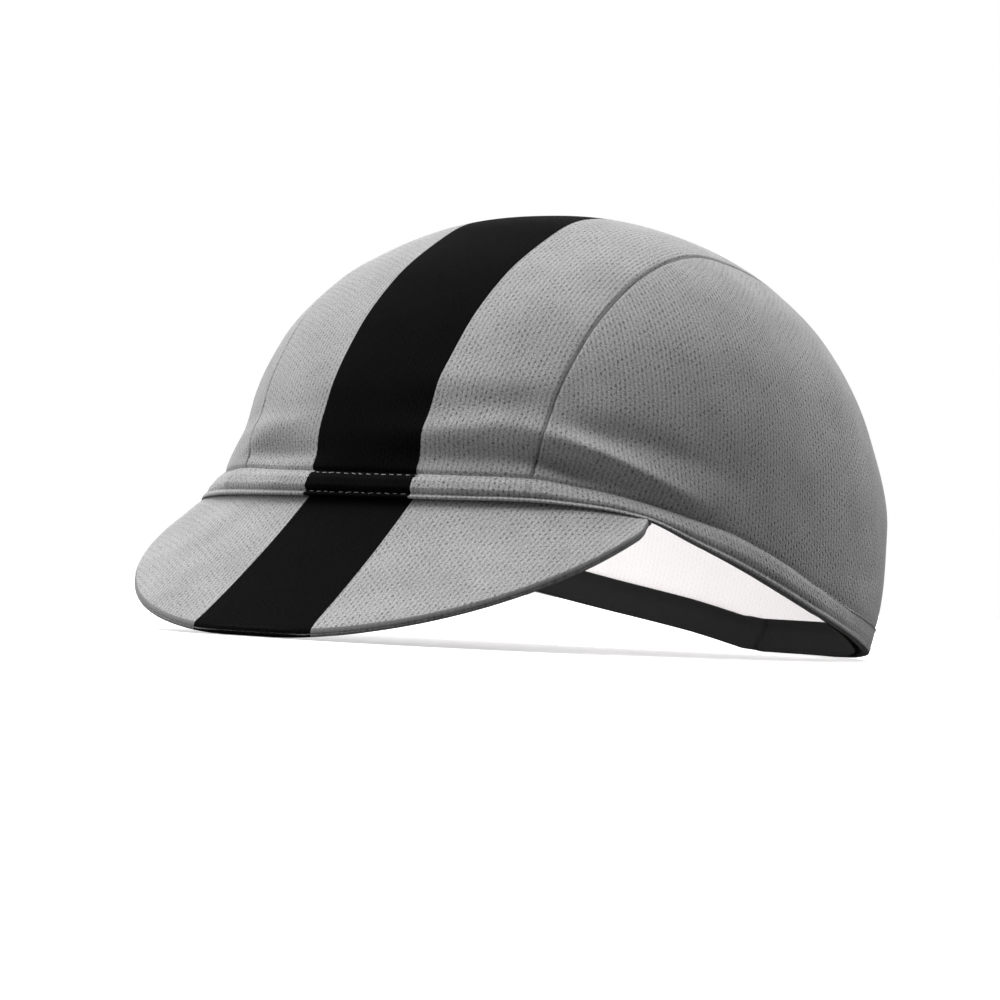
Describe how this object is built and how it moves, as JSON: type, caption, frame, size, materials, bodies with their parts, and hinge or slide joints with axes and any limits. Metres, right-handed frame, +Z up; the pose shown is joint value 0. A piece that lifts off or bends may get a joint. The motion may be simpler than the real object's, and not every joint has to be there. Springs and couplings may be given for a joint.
{
  "type": "cycling cap",
  "caption": "Soft knitted cap with a panelled crown, a rolled hem with an elastic band inside it, and a short curved peak.",
  "frame": {"origin": "on the surface that the cap lies on, under the middle of its box", "axes": "+Z up, -Y the way the peak points, +X the wearer's left"},
  "size_m": [0.17, 0.2518, 0.1189],
  "materials": {
    "grey_knit": "matte polyester mesh knit, white on its reverse, with a plain black printed stripe over the middle",
    "black_elastic": "matte woven elastic"
  },
  "bodies": {
    "root": {"centre_panel": "grey_knit", "side_panel_left": "grey_knit", "side_panel_right": "grey_knit", "hem_front": "grey_knit", "hem_left": "grey_knit", "hem_right": "grey_knit", "hem_back": "grey_knit", "elastic_band": "black_elastic", "peak_top": "grey_knit", "peak_underside": "grey_knit"}
  },
  "joints": []
}
